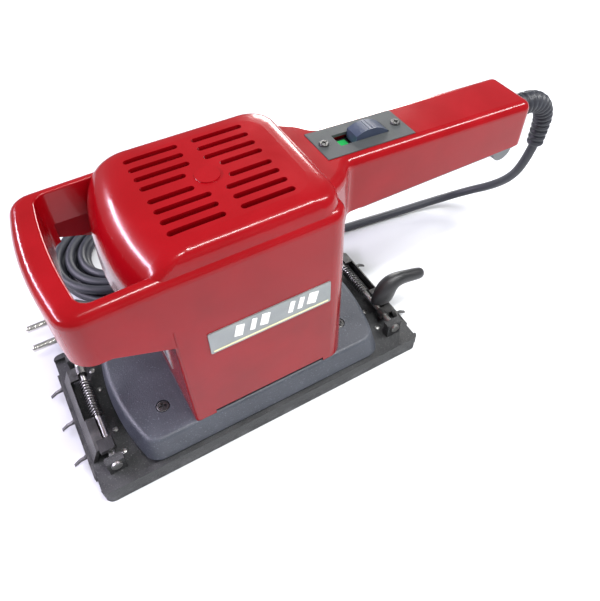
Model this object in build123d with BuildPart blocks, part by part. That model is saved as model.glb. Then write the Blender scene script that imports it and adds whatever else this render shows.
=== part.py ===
"""Half-sheet orbital sander: long rear handle, bow handle at the nose, two paper clamps and a mains cord.

Millimetres. +X runs from the bow handle to the rear handle, +Z is up.
The origin is the middle of the sanding pad's lower face, straight under the motor shaft.
"""

import math
import os

from build123d import *

# --- Pad and platen -------------------------------------------------------------------------
pad_length = 230.0
pad_width = 114.0
pad_thick = 6.0
platen_thick = 4.0
rim_height = 2.5
rim_width = 4.0
orbit_radius = 2.0
platen_top = pad_thick + platen_thick
rim_top = platen_top + rim_height

# --- Base housing, the grey casting over the platen -------------------------------------------
base_gap = 1.5
base_height = 16.0
base_length = 182.0
base_width = 108.0
base_bulge = 9.0
base_draft = 3.5
base_corner = 11.0
base_wall = 3.0
deck_thick = 4.0
base_bottom = rim_top + base_gap
base_top = base_bottom + base_height
deck_under = base_top - deck_thick

# --- Main housing, the red shell with both handles --------------------------------------------
body_front = -50.0
body_rear = 56.0
body_width = 100.0
body_wall = 3.0
band_bottom = 119.0
band_top = 154.0
band_round = 6.5
bow_drop = 1.5
body_corner = 12.0
cap_half = 48.0
cap_rear = 54.5
cap_front = -40.0
cap_corner = 14.0
# The cap's levels from its underside up: height, inset all round, front edge, bulge of the front.
cap_levels = [
    (119.0, 0.0, -59.0, 6.5), (126.0, 0.0, -58.6, 6.8), (134.0, 0.0, -57.8, 7.2), (143.0, 0.1, -55.8, 7.8),
    (152.0, 0.5, -51.5, 8.5),
    (158.5, 1.5, -45.5, 9.0), (162.3, 4.2, -38.5, 9.0), (163.7, 8.5, -32.0, 9.0), (164.0, 12.0, -28.0, 9.0),
]
cap_top = cap_levels[-1][0]
body_mid = (body_front + body_rear) / 2
body_half = body_width / 2

bow_reach = 51.0
bow_bulge = 6.0
bow_grip = 15.0
bow_arm = 7.8
bow_corner = 13.0
rim_round = 1.1
bow_round = 6.0
arm_drop = 13.0
arm_inner_low = 132.0
arm_web = 2.6

handle_end = 212.0
handle_width = 39.0
handle_root_top = 158.0
handle_slope = 2.6
handle_bottom = 120.0
handle_round = 6.0
handle_wall = 3.5
flare_half = 37.0
flare_end = 76.0
lug_half = 16.0

# --- Vents --------------------------------------------------------------------------------------
vent_length = 30.0
vent_width = 3.8
vent_pitch = 8.5
vent_rows = 8
vent_middle_gap = 2.6
vent_column_gap = 8.0
vent_centre = -2.0
boss_height = 0.7
boss_radius = 7.0

# --- Switch ---------------------------------------------------------------------------------------
switch_x = 92.0
plate_length = 59.0
plate_width = 27.0
plate_thick = 1.8
plate_proud = 0.4
well_length = 33.0
well_width = 11.0
slider_length = 22.0
slider_width = 10.2
slider_height = 5.0
slider_travel = 8.0
screw_reach = 24.5

# --- Motor -----------------------------------------------------------------------------------------
shaft_d = 12.0
pin_d = 10.0
top_shaft_d = 8.0
running_gap = 0.03
low_bearing_d, low_bearing_h = 32.0, 10.0
top_bearing_d, top_bearing_h = 22.0, 7.0
pad_bearing_d, pad_bearing_h = 26.0, 7.0
stator_d, stator_bore, stator_h = 86.0, 50.0, 46.0
air_gap = 0.6
fan_d, fan_h = 78.0, 13.0
weight_r, weight_h = 34.0, 3.2

# --- Posts between platen and deck ----------------------------------------------------------------
post_x, post_y = 64.0, 29.0
post_d = 15.0
slide_gap = 0.3

# --- Clamps -----------------------------------------------------------------------------------------
clamp_inset = 13.5
clamp_x = pad_length / 2 - clamp_inset
clamp_z = 18.5
clamp_shaft_d = 4.0
clamp_span = 80.0
lug_width = 5.0
jaw_length = 66.0
jaw_thick = 1.8
spring_d = 8.0
spring_length = 30.0
spike_pitch = 28.0
spike_reach = 10.0
lever_y = -24.0
lever_length = 37.0
lever_rise = 24.0
lever_root = 20.0
lever_tip_d = 9.5

# --- Cord ---------------------------------------------------------------------------------------------
cord_d = 7.0
sleeve_root_d, sleeve_tip_d = 17.0, 13.0
sleeve_z = 135.0
sleeve_bend = 24.0
sleeve_run = 16.0
sleeve_drop = 17.0
coil_centre = (-23.0, 136.0)
coil_straight = 36.0
coil_radius = 50.0
coil_pitch = 7.4
coil_columns = 4
coil_height = 14.6
plug_d, plug_length = 32.0, 36.0
plug_back = -70.0
plug_y = 77.0
plug_pin_d, plug_pin_length, plug_pin_pitch = 4.8, 19.0, 19.0

os.makedirs("parts", exist_ok=True)


def save(part, name):
    """Labels a finished piece and writes it as its own node."""
    part.label = name
    export_step(part, f"parts/{name}.step")


def slope_plane(x):
    """A plane on the rear handle's sloping top, above the given x."""
    tilt = math.radians(handle_slope)
    height = handle_root_top - (x - body_rear) * math.tan(tilt)
    return Plane(origin=(x, 0, height), x_dir=(math.cos(tilt), 0, -math.sin(tilt)),
                 z_dir=(math.sin(tilt), 0, math.cos(tilt)))


def ring(outer_d, inner_d, low, height, centre=(0, 0)):
    """A plain ring standing on a height."""
    with BuildPart() as made:
        with BuildSketch(Plane.XY.offset(low)):
            with Locations(centre):
                Circle(outer_d / 2)
                Circle(inner_d / 2, mode=Mode.SUBTRACT)
        extrude(amount=height)
    return made.part


def post_places():
    """The four places of the rubber posts and their screws."""
    return [(sx * post_x, sy * post_y) for sx in (-1, 1) for sy in (-1, 1)]


# --- Pad group ------------------------------------------------------------------------------------------
def make_sanding_pad():
    with BuildPart() as sanding_pad:
        with BuildSketch():
            RectangleRounded(pad_length, pad_width, 5)
        extrude(amount=pad_thick - 0.2)
    save(sanding_pad.part, "sanding_pad")


def make_platen():
    hub_d = pad_bearing_d + 9
    hub_top = pad_thick + 2 + pad_bearing_h
    with BuildPart() as platen:
        with BuildSketch(Plane.XY.offset(pad_thick - 0.2)):
            RectangleRounded(pad_length, pad_width, 4)
        extrude(amount=platen_thick + 0.2)
        with BuildSketch(Plane.XY.offset(platen_top)):
            RectangleRounded(pad_length, pad_width, 4)
            Rectangle(pad_length + 1, pad_width - 2 * rim_width, mode=Mode.SUBTRACT)
        extrude(amount=rim_height)
        with BuildSketch(Plane.XY.offset(platen_top)):
            with Locations((orbit_radius, 0)):
                Circle(hub_d / 2)
        extrude(amount=hub_top - platen_top)
        with BuildSketch(Plane.XY.offset(pad_thick + 2)):
            with Locations((orbit_radius, 0)):
                Circle(pad_bearing_d / 2)
        extrude(amount=pad_bearing_h + 1, mode=Mode.SUBTRACT)
        with Locations([(sx * clamp_x, sy * (clamp_span / 2 + lug_width / 2), platen_top)
                        for sx in (-1, 1) for sy in (-1, 1)]):
            Box(11, lug_width, clamp_z - platen_top + 3.5, align=(Align.CENTER, Align.CENTER, Align.MIN))
        with Locations([Location((sx * clamp_x, 0, clamp_z), (90, 0, 0)) for sx in (-1, 1)]):
            Cylinder(clamp_shaft_d / 2, clamp_span + 4 * lug_width, mode=Mode.SUBTRACT)
    save(platen.part, "platen")


def make_pad_bearing():
    save(ring(pad_bearing_d, pin_d + 2 * running_gap, pad_thick + 2, pad_bearing_h, (orbit_radius, 0)),
         "pad_bearing")


def make_rubber_posts():
    with BuildPart() as rubber_posts:
        with BuildSketch(Plane.XY.offset(platen_top)):
            with Locations(post_places()):
                Circle(post_d / 2)
        extrude(amount=deck_under - platen_top - slide_gap)
        with Locations([(x, y, (platen_top + deck_under) / 2) for x, y in post_places()]):
            Torus(post_d / 2 + 2.2, 4.2, mode=Mode.SUBTRACT)
    save(rubber_posts.part, "rubber_posts")


def make_clamp_shaft(side, name):
    with BuildPart() as clamp_shaft:
        with Locations(Location((side * clamp_x, 0, clamp_z), (90, 0, 0))):
            Cylinder(clamp_shaft_d / 2, clamp_span + 2 * lug_width)
        with Locations([Location((side * clamp_x, s * (clamp_span / 2 + lug_width + 0.8), clamp_z), (90, 0, 0))
                        for s in (-1, 1)]):
            Cylinder(clamp_shaft_d / 2 + 1.3, 1.6)
    save(clamp_shaft.part, name)


def make_clamp_spring(side, name):
    with BuildPart() as clamp_spring:
        with Locations(Location((side * clamp_x, 7, clamp_z), (90, 0, 0))):
            Cylinder(spring_d / 2, spring_length)
            Cylinder(spring_d / 2 - 1.1, spring_length, mode=Mode.SUBTRACT)
    save(clamp_spring.part, name)


def make_spike_strip(side, offset, name):
    """The strip on the platen's end with the hooks that hold the paper."""
    end = pad_length / 2
    with BuildPart() as spike_strip:
        with BuildSketch(Plane.XZ.offset(-clamp_span / 2 - 2)):
            with BuildLine():
                Polyline((end, 4.6), (end + 1.4, 4.6), (end + 1.4, platen_top), (end, platen_top), close=True)
            make_face()
        extrude(amount=clamp_span + 4)
        for place in (-1, 0, 1):
            with BuildSketch(Plane.XZ.offset(-offset - place * spike_pitch - 0.8)):
                with BuildLine():
                    Polyline((end + 1, 5.2), (end + spike_reach * 0.55, 5.0), (end + spike_reach, 2.6),
                             (end + spike_reach, 4.0), (end + spike_reach * 0.6, 6.8),
                             (end + spike_reach * 0.3, 7.4), (end + 1, 9.0), close=True)
                make_face()
            extrude(amount=1.6)
    part = spike_strip.part
    save(part if side > 0 else part.mirror(Plane.YZ), name)


# --- Clamp jaws -------------------------------------------------------------------------------------------
def jaw_solid():
    """The pressed jaw of the rear clamp: eyes on the shaft and a blade down to the platen's edge."""
    hole = clamp_shaft_d / 2 + 0.1
    blade_end = pad_length / 2 - 1.5
    with BuildPart() as jaw:
        with BuildSketch(Plane.XZ.offset(-jaw_length / 2)):
            with BuildLine():
                Polyline((clamp_x + 2, clamp_z + 3.2), (blade_end - 4.5, clamp_z + 3.2),
                         (blade_end, platen_top + 1.6), (blade_end, platen_top + 0.3),
                         (blade_end - 2.2, platen_top + 0.3), (blade_end - 6.0, clamp_z + 3.2 - jaw_thick),
                         (clamp_x + 2, clamp_z + 3.2 - jaw_thick), close=True)
            make_face()
        extrude(amount=jaw_length)
        with Locations([Location((clamp_x, s * (jaw_length / 2 - 3), clamp_z), (90, 0, 0)) for s in (-1, 1)]):
            Cylinder(clamp_shaft_d / 2 + jaw_thick, 6)
            Cylinder(hole, 7, mode=Mode.SUBTRACT)
        with Locations((clamp_x + 1, 7, clamp_z)):
            Box(2 * spring_d - 2, spring_length + 2, spring_d + 1.6, mode=Mode.SUBTRACT,
                align=(Align.CENTER, Align.CENTER, Align.CENTER))
    return jaw.part


def make_jaws():
    jaw = jaw_solid()
    save(jaw, "rear_clamp_jaw")
    save(jaw.mirror(Plane.YZ), "front_clamp_jaw")


def make_front_finger_tab():
    with BuildPart() as tab:
        with Locations((-clamp_x - 1.2, -jaw_length / 2 - 2.2, clamp_z + 3.4)):
            Box(9, 4, 3, align=(Align.CENTER, Align.CENTER, Align.MIN))
        with Locations((-clamp_x - 1.2, -jaw_length / 2 + 1.5, clamp_z + 3.2)):
            Box(9, 9, 1.4, align=(Align.CENTER, Align.CENTER, Align.MIN))
        fillet(tab.edges().filter_by(Axis.Z), 0.8)
    save(tab.part, "front_finger_tab")


def make_rear_lever():
    """The moulded thumb lever: wide where it meets the jaw, narrow and round at its tip."""
    root = clamp_x + 1.5
    low = clamp_z + 3.2
    tip = root + lever_length
    half_root, half_tip = lever_root / 2, lever_tip_d / 2
    with BuildPart() as rear_lever:
        with BuildSketch(Plane.XY.offset(low)) as plan:
            with BuildLine():
                Polyline((root, lever_y - half_root), (root + 8, lever_y - half_root),
                         (root + 17, lever_y - half_tip), (tip, lever_y - half_tip), (tip, lever_y + half_tip),
                         (root + 17, lever_y + half_tip), (root + 8, lever_y + half_root),
                         (root, lever_y + half_root), close=True)
            make_face()
            fillet(plan.vertices().group_by(Axis.X)[-1], half_tip - 0.3)
            fillet(plan.vertices().filter_by_position(Axis.X, root + 7, root + 18), 5)
        extrude(amount=lever_rise + 2)
        with BuildSketch(Plane.XZ.offset(-lever_y - lever_root)) as side:
            with BuildLine():
                Polyline((root - 1, low), (root + 8, low), (root + 13, low + lever_rise * 0.42),
                         (tip + 1, low + lever_rise * 0.3), (tip + 1, low + lever_rise * 0.72),
                         (root + 10, low + lever_rise), (root + 4, low + lever_rise), (root - 1, low + lever_rise * 0.6),
                         close=True)
            make_face()
            fillet(side.vertices().filter_by_position(Axis.X, root + 3, root + 14), 3)
        extrude(amount=2 * lever_root, mode=Mode.INTERSECT)
    save(rear_lever.part, "rear_lever")


# --- Base housing --------------------------------------------------------------------------------------------
def base_outline(height, inset):
    """The base's plan at a height: straight sides, ends that bow outwards, round corners."""
    half_l = base_length / 2 - base_bulge - inset
    half_w = base_width / 2 - inset
    with BuildSketch(Plane.XY.offset(height)) as outline:
        with BuildLine():
            Line((-half_l, -half_w), (half_l, -half_w))
            ThreePointArc((half_l, -half_w), (half_l + base_bulge, 0), (half_l, half_w))
            Line((half_l, half_w), (-half_l, half_w))
            ThreePointArc((-half_l, half_w), (-half_l - base_bulge, 0), (-half_l, -half_w))
        make_face()
        fillet(outline.vertices(), base_corner)
    return outline.sketch


def make_base_housing():
    boss_d = low_bearing_d + 12
    bearing_low = base_top + 3 - low_bearing_h
    with BuildPart() as base_housing:
        add(base_outline(base_bottom, 0))
        add(base_outline(base_top, base_draft))
        loft()
        fillet(base_housing.faces().sort_by(Axis.Z)[-1].edges(), 3)
        hollow = [base_outline(base_bottom, base_wall), base_outline(deck_under, base_wall + base_draft)]
        loft(hollow, mode=Mode.SUBTRACT)
        with BuildSketch(Plane.XY.offset(bearing_low - 1.5)):
            Circle(boss_d / 2)
        extrude(amount=base_top + 3 - bearing_low + 1.5)
        with BuildSketch(Plane.XY.offset(bearing_low)):
            Circle(low_bearing_d / 2)
        extrude(amount=low_bearing_h + 5, mode=Mode.SUBTRACT)
        with BuildSketch(Plane.XY.offset(bearing_low - 5)):
            Circle(shaft_d / 2 + 4)
        extrude(amount=12, mode=Mode.SUBTRACT)
        with Locations([(x, y, base_top) for x, y in post_places()]):
            CounterBoreHole(2.1, 4.4, 1.6, depth=deck_thick + 2)
    save(base_housing.part, "base_housing")


def screw_solid(head_r, head_h, shank_r, shank_l):
    """A cross-head screw with its head's underside on Z = 0."""
    with BuildPart() as screw:
        Cylinder(head_r, head_h, align=(Align.CENTER, Align.CENTER, Align.MIN))
        fillet(screw.edges().group_by(Axis.Z)[-1], head_h * 0.45)
        Cylinder(shank_r, shank_l, align=(Align.CENTER, Align.CENTER, Align.MAX))
        with Locations((0, 0, head_h)):
            Box(head_r * 1.2, head_r * 0.28, head_h * 1.1, mode=Mode.SUBTRACT)
            Box(head_r * 0.28, head_r * 1.2, head_h * 1.1, mode=Mode.SUBTRACT)
    return screw.part


def save_group(solids, name):
    """Writes several separate solids as one node."""
    save(Compound(children=list(solids)), name)


# --- Main housing ----------------------------------------------------------------------------------------------
def make_handle_block():
    """The rear handle's outer block, flared where it leaves the body, with a sloping top."""
    half = handle_width / 2
    with BuildPart() as block:
        with BuildSketch(Plane.XY.offset(handle_bottom)):
            with BuildLine():
                Line((body_rear - 12, -flare_half), (body_rear - 3, -flare_half))
                Spline((body_rear - 3, -flare_half), (body_rear + 11, -half - 6.5), (flare_end, -half),
                       tangents=((0.75, 1), (1, 0)))
                Line((flare_end, -half), (handle_end, -half))
                Line((handle_end, -half), (handle_end, half))
                Line((handle_end, half), (flare_end, half))
                Spline((flare_end, half), (body_rear + 11, half + 6.5), (body_rear - 3, flare_half),
                       tangents=((-1, 0), (-0.75, 1)))
                Line((body_rear - 3, flare_half), (body_rear - 12, flare_half))
                Line((body_rear - 12, flare_half), (body_rear - 12, -flare_half))
            make_face()
        extrude(amount=handle_root_top - handle_bottom + 5)
        with Locations(slope_plane(switch_x).location):
            Box(400, 200, 60, mode=Mode.SUBTRACT, align=(Align.CENTER, Align.CENTER, Align.MIN))
        end_edges = block.edges().filter_by(Axis.Z).sort_by(Axis.X)[-2:]
        fillet(end_edges, handle_round)
        top_face = block.faces().sort_by(Axis.Z)[-1]
        fillet([e for e in top_face.edges() if e.center().X > body_rear - 8], handle_round)
    return block.part


def cap_outline(height, inset, front, bulge):
    """The plan of the domed cap at a height: round rear corners and a front that bows outwards."""
    half = cap_half - inset
    rear = cap_rear - inset
    with BuildSketch(Plane.XY.offset(height)) as outline:
        with BuildLine():
            Line((front, -half), (rear, -half))
            Line((rear, -half), (rear, half))
            Line((rear, half), (front, half))
            ThreePointArc((front, half), (front - bulge, 0), (front, -half))
        make_face()
        fillet(outline.vertices().sort_by(Axis.X)[-2:], cap_corner)
        fillet(outline.vertices().sort_by(Axis.X)[:2], 9)
    return outline.sketch


def make_cap_block():
    """The domed cap: its front leans forward and stands out over the bow's opening."""
    with BuildPart() as cap_block:
        loft([cap_outline(*level) for level in cap_levels])
    return cap_block.part


def make_band():
    """The body below the cap, with the bow handle round its opening."""
    nose = body_front - bow_reach
    inner = nose + bow_grip
    reach = body_half - bow_arm
    with BuildPart() as band_block:
        with BuildSketch(Plane.XY.offset(base_top)) as foot:
            with Locations((body_mid, 0)):
                Rectangle(body_rear - body_front, body_width)
            fillet(foot.vertices().sort_by(Axis.X)[-2:], body_corner)
            fillet(foot.vertices().sort_by(Axis.X)[:2], 2.5)
        extrude(amount=band_bottom - base_top + 4)
        with BuildSketch(Plane.XY.offset(band_bottom)) as band:
            with BuildLine():
                Line((body_rear, -body_half), (nose + bow_bulge, -body_half))
                ThreePointArc((nose + bow_bulge, -body_half), (nose, 0), (nose + bow_bulge, body_half))
                Line((nose + bow_bulge, body_half), (body_rear, body_half))
                Line((body_rear, body_half), (body_rear, -body_half))
            make_face()
            fillet(band.vertices().sort_by(Axis.X)[:2], bow_corner)
            fillet(band.vertices().sort_by(Axis.X)[-2:], body_corner)
        extrude(amount=band_top - band_bottom)
        with BuildSketch(Plane.XZ.offset(-body_half - 5)):
            with BuildLine():
                Polyline((body_front + 2, band_top), (nose - 1, band_top - bow_drop), (nose - 1, band_top + 5),
                         (body_front + 2, band_top + 5), close=True)
            make_face()
        extrude(amount=body_width + 10, mode=Mode.SUBTRACT)
        tops = band_block.faces().filter_by(lambda f: f.normal_at().Z > 0.9 and f.center().Z > band_bottom + 10)
        shared = set(tops[0].edges()) & set(tops[1].edges())
        fillet([e for f in tops for e in f.edges() if e not in shared], band_round)
        with BuildSketch(Plane.XZ.offset(-body_half)):
            with BuildLine():
                Polyline((body_front + 1, band_bottom + 1), (nose + 22, band_bottom + 1),
                         (nose + 22, band_bottom), (body_front + 1, band_bottom - arm_drop), close=True)
            make_face()
        extrude(amount=body_width)
        with BuildSketch(Plane.XY.offset(band_bottom - arm_drop - 5)) as gap_plan:
            with BuildLine():
                Line((body_front, -reach), (inner + bow_bulge * 0.5, -reach))
                ThreePointArc((inner + bow_bulge * 0.5, -reach), (inner, 0), (inner + bow_bulge * 0.5, reach))
                Line((inner + bow_bulge * 0.5, reach), (body_front, reach))
                Line((body_front, reach), (body_front, -reach))
            make_face()
            fillet(gap_plan.vertices().sort_by(Axis.X)[:2], 7)
        extrude(amount=band_top + 40 - band_bottom, mode=Mode.SUBTRACT)
        for side in (-1, 1):
            with BuildSketch(Plane.YZ.offset(body_front)):
                with BuildLine():
                    Polyline((side * (reach - 1), arm_inner_low), (side * reach, arm_inner_low),
                             (side * (body_half - arm_web), band_bottom - 5), (side * (body_half - arm_web), 90),
                             (side * (reach - 1), 90), close=True)
                make_face()
            extrude(amount=-29, mode=Mode.SUBTRACT)
        rim = [e for e in band_block.edges() if e.center().Z > band_top - bow_drop - 2
               and inner - 1 < e.center().X < body_front - 0.5 and abs(e.center().Y) < reach + 0.1]
        fillet(rim, rim_round)
    return band_block.part


def make_main_housing():
    band_block = make_band()
    cap_block = make_cap_block()
    handle_block = make_handle_block()
    with BuildPart() as main_housing:
        add(band_block)
        add(cap_block)
        add(handle_block)

        # The hollow body, cap and rear handle.
        with BuildSketch(Plane.XY.offset(base_top)):
            with Locations((body_mid, 0)):
                RectangleRounded(body_rear - body_front - 2 * body_wall, body_width - 2 * body_wall,
                                 body_corner - body_wall)
        extrude(amount=band_bottom - base_top + 12, mode=Mode.SUBTRACT)
        with Locations(((cap_front + cap_rear) / 2, 0, base_top + 20)):
            Box(cap_rear - cap_front - 16, 2 * cap_half - 18, cap_top - base_top - 20 - 4.2, mode=Mode.SUBTRACT,
                align=(Align.CENTER, Align.CENTER, Align.MIN))
        with Locations(((body_rear - 10 + handle_end - handle_wall) / 2, 0, handle_bottom)):
            Box(handle_end - handle_wall - body_rear + 10, handle_width - 2 * handle_wall, 26,
                mode=Mode.SUBTRACT, align=(Align.CENTER, Align.CENTER, Align.MIN))

        # Round boss and vent slots.
        with BuildSketch(Plane.XY.offset(cap_top - 1)):
            with Locations((vent_centre, 0)):
                Circle(boss_radius)
        extrude(amount=1 + boss_height, taper=12)
        for row in range(vent_rows):
            step = row - (vent_rows - 1) / 2
            y = step * vent_pitch + math.copysign(vent_middle_gap / 2, step)
            shorten = 5.5 if abs(step) < 1 else 0
            for side in (-1, 1):
                centre = vent_centre + side * (vent_column_gap / 2 + vent_length / 2 + shorten / 2)
                with BuildSketch(Plane.XY.offset(cap_top + 1)):
                    with Locations((centre, y)):
                        SlotOverall(vent_length - shorten, vent_width)
                extrude(amount=-9, mode=Mode.SUBTRACT)

        # Recess and hole for the switch.
        with BuildSketch(slope_plane(switch_x)):
            Rectangle(plate_length + 0.4, plate_width + 0.4)
        extrude(amount=-(plate_thick - plate_proud), mode=Mode.SUBTRACT)
        with BuildSketch(slope_plane(switch_x)):
            Rectangle(well_length + 3, well_width + 5)
        extrude(amount=-16, mode=Mode.SUBTRACT)
        with BuildSketch(slope_plane(switch_x)):
            with Locations((-screw_reach, 0), (screw_reach, 0)):
                Circle(1.5)
        extrude(amount=-16, mode=Mode.SUBTRACT)

        # Hole for the cord sleeve and the air notches at the foot.
        with Locations(Location((handle_end, 0, sleeve_z), (0, 90, 0))):
            Cylinder(sleeve_root_d / 2 - 2, 20, mode=Mode.SUBTRACT)
        with Locations((body_mid - 2, 0, base_top)):
            Box(76, body_width + 10, 3.2, mode=Mode.SUBTRACT, align=(Align.CENTER, Align.CENTER, Align.MIN))
    save(main_housing.part, "main_housing")


def make_handle_cover():
    """The grey strip that closes the handle from below, with the round rest lug at its end."""
    low = handle_bottom - 2.2
    start, end = body_rear + 26, handle_end - 4
    with BuildPart() as handle_cover:
        with Locations(((start + end) / 2, 0, low)):
            Box(end - start, handle_width - 3, 2.2, align=(Align.CENTER, Align.CENTER, Align.MIN))
        fillet(handle_cover.edges().filter_by(Axis.Z), 2.5)
        with BuildSketch(Plane.XZ.offset(-lug_half)):
            with BuildLine():
                Line((end - 18, low), (end - 1, low))
                Line((end - 1, low), (end - 2, low - 3))
                ThreePointArc((end - 2, low - 3), (end - 9.5, low - 9), (end - 17, low - 3))
                Line((end - 17, low - 3), (end - 18, low))
            make_face()
        extrude(amount=2 * lug_half)
        with Locations(((start + end) / 2, 0, low + 2.2)):
            Box(end - start - 12, handle_width - 2 * handle_wall - 1, 1.6,
                align=(Align.CENTER, Align.CENTER, Align.MIN))
    save(handle_cover.part, "handle_cover")


def make_badges():
    with BuildPart() as side_badge:
        with BuildSketch(Plane.XZ.offset(body_half)):
            with Locations((body_mid + 2, 98)):
                RectangleRounded(75, 17, 0.8)
        extrude(amount=0.8)
    save(side_badge.part, "side_badge")
    with BuildPart() as rating_plate:
        with BuildSketch(Plane(origin=(body_front, 0, 68), x_dir=(0, 1, 0), z_dir=(-1, 0, 0))):
            RectangleRounded(44, 34, 1)
        extrude(amount=0.6)
    save(rating_plate.part, "rating_plate")


# --- Switch --------------------------------------------------------------------------------------------------
def make_switch():
    top = slope_plane(switch_x).offset(plate_proud)
    under = slope_plane(switch_x).offset(plate_proud - plate_thick)
    with BuildPart() as switch_plate:
        with BuildSketch(top):
            Rectangle(plate_length, plate_width)
            Rectangle(well_length, well_width, mode=Mode.SUBTRACT)
            with Locations((-screw_reach, 0), (screw_reach, 0)):
                Circle(1.6, mode=Mode.SUBTRACT)
        extrude(amount=-plate_thick)
        fillet(switch_plate.faces().sort_by(Axis.Z)[-1].outer_wire().edges(), 0.5)
    save(switch_plate.part, "switch_plate")

    screw = screw_solid(2.9, 1.3, 1.4, 10)
    save_group([top.offset(0.02).location * Location((s * screw_reach, 0, 0)) * screw for s in (-1, 1)],
               "switch_screws")

    with BuildPart() as switch_body:
        with BuildSketch(under.offset(-3.2)):
            Rectangle(well_length + 1.5, well_width + 3.5)
        extrude(amount=-11)
    save(switch_body.part, "switch_body")
    with BuildPart() as on_mark:
        with BuildSketch(under.offset(-3.2)):
            with Locations((-well_length / 2 + 4.6, 0)):
                Rectangle(8.6, well_width - 1.4)
        extrude(amount=0.5)
    save(on_mark.part, "on_mark")

    rest = well_length / 2 - slider_length / 2 - 0.6
    with BuildPart() as switch_slider:
        with BuildSketch(Plane(origin=top.origin, x_dir=top.x_dir, z_dir=Vector(0, -1, 0)).offset(-slider_width / 2)):
            with BuildLine():
                low = -plate_thick - 1.9
                Line((rest - slider_length / 2, low), (rest + slider_length / 2, low))
                Line((rest + slider_length / 2, low), (rest + slider_length / 2, 0.4))
                ThreePointArc((rest + slider_length / 2, 0.4), (rest - 2, slider_height),
                              (rest - slider_length / 2, slider_height - 2.6))
                Line((rest - slider_length / 2, slider_height - 2.6), (rest - slider_length / 2, low))
            make_face()
        extrude(amount=slider_width)
        for rib in range(5):
            with Locations(top.location * Location((rest - 7.5 + rib * 2.4, 0, slider_height + 0.6))):
                Box(0.8, slider_width + 1, 1.6, mode=Mode.SUBTRACT)
    save(switch_slider.part, "switch_slider")


# --- Motor -----------------------------------------------------------------------------------------------------
bearing_low = base_top + 3 - low_bearing_h
fan_low = base_top + 7
core_low = fan_low + fan_h + 7
core_top = core_low + stator_h
top_bearing_low = core_top + 22


def make_bearings():
    save(ring(low_bearing_d, shaft_d + 2 * running_gap, bearing_low, low_bearing_h), "lower_bearing")
    save(ring(top_bearing_d, top_shaft_d + 2 * running_gap, top_bearing_low, top_bearing_h), "upper_bearing")


def make_bearing_bracket():
    """The bridge across the body that holds the upper bearing and the brushes."""
    with BuildPart() as bearing_bracket:
        with BuildSketch(Plane.XY.offset(top_bearing_low - 2)):
            with Locations((0, 0)):
                Rectangle(22, stator_d)
                Circle(top_bearing_d / 2 + 5)
                Circle(top_bearing_d / 2 - 3, mode=Mode.SUBTRACT)
        extrude(amount=2)
        with BuildSketch(Plane.XY.offset(top_bearing_low)):
            Circle(top_bearing_d / 2 + 3)
            Circle(top_bearing_d / 2, mode=Mode.SUBTRACT)
        extrude(amount=top_bearing_h - 1)
        with Locations([(0, s * (stator_d / 2 - 3), core_top) for s in (-1, 1)]):
            Box(22, 6, top_bearing_low - 2 - core_top, align=(Align.CENTER, Align.CENTER, Align.MIN))
    save(bearing_bracket.part, "bearing_bracket")


def make_stator():
    with BuildPart() as field_core:
        with BuildSketch(Plane.XY.offset(core_low)):
            Circle(stator_d / 2)
            Rectangle(stator_d - 10, stator_d + 2, mode=Mode.INTERSECT)
            Circle(stator_bore / 2, mode=Mode.SUBTRACT)
        extrude(amount=stator_h)
    save(field_core.part, "field_core")
    ends = []
    for low in (core_low - 6, core_top):
        for side in (-1, 1):
            with BuildPart() as winding:
                with BuildSketch(Plane.XY.offset(low)):
                    Circle(stator_d / 2 - 5)
                    Circle(stator_bore / 2 + 1, mode=Mode.SUBTRACT)
                    with Locations((side * 37, 0)):
                        Rectangle(36, 50, mode=Mode.INTERSECT)
                extrude(amount=6)
            ends.append(winding.part)
    save_group(ends, "field_windings")


def make_stator_posts():
    posts = []
    for sx in (-1, 1):
        for sy in (-1, 1):
            with BuildPart() as post:
                with Locations((sx * 25, sy * 36, base_top)):
                    Cylinder(3.5, core_low - base_top, align=(Align.CENTER, Align.CENTER, Align.MIN))
            posts.append(post.part)
    return posts


def make_spindle():
    with BuildPart() as spindle:
        with Locations((0, 0, pad_thick + 2.6)):
            with Locations((orbit_radius, 0, 0)):
                Cylinder(pin_d / 2, pad_bearing_h + 1, align=(Align.CENTER, Align.CENTER, Align.MIN))
        shaft_low = pad_thick + 3.6 + pad_bearing_h
        with Locations((0, 0, shaft_low)):
            Cylinder(shaft_d / 2 + 1.5, 1, align=(Align.CENTER, Align.CENTER, Align.MIN))
            Cylinder(shaft_d / 2, core_top - shaft_low + 18, align=(Align.CENTER, Align.CENTER, Align.MIN))
            Cylinder(top_shaft_d / 2, top_bearing_low + top_bearing_h - shaft_low,
                     align=(Align.CENTER, Align.CENTER, Align.MIN))
    save(spindle.part, "spindle")


def make_counterweight():
    low = pad_thick + 4.6 + pad_bearing_h
    with BuildPart() as counterweight:
        with BuildSketch(Plane.XY.offset(low)):
            Circle(weight_r)
            with Locations((weight_r / 2 + 2, 0)):
                Rectangle(weight_r + 4, 2 * weight_r + 2, mode=Mode.SUBTRACT)
            Circle(shaft_d / 2 + 5)
            Circle(shaft_d / 2, mode=Mode.SUBTRACT)
        extrude(amount=weight_h)
    save(counterweight.part, "counterweight")


def make_armature():
    save(ring(stator_bore - 2 * air_gap, shaft_d, core_low, stator_h), "armature_core")
    save(ring(28, shaft_d, core_top + 1, 15), "commutator")


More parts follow.
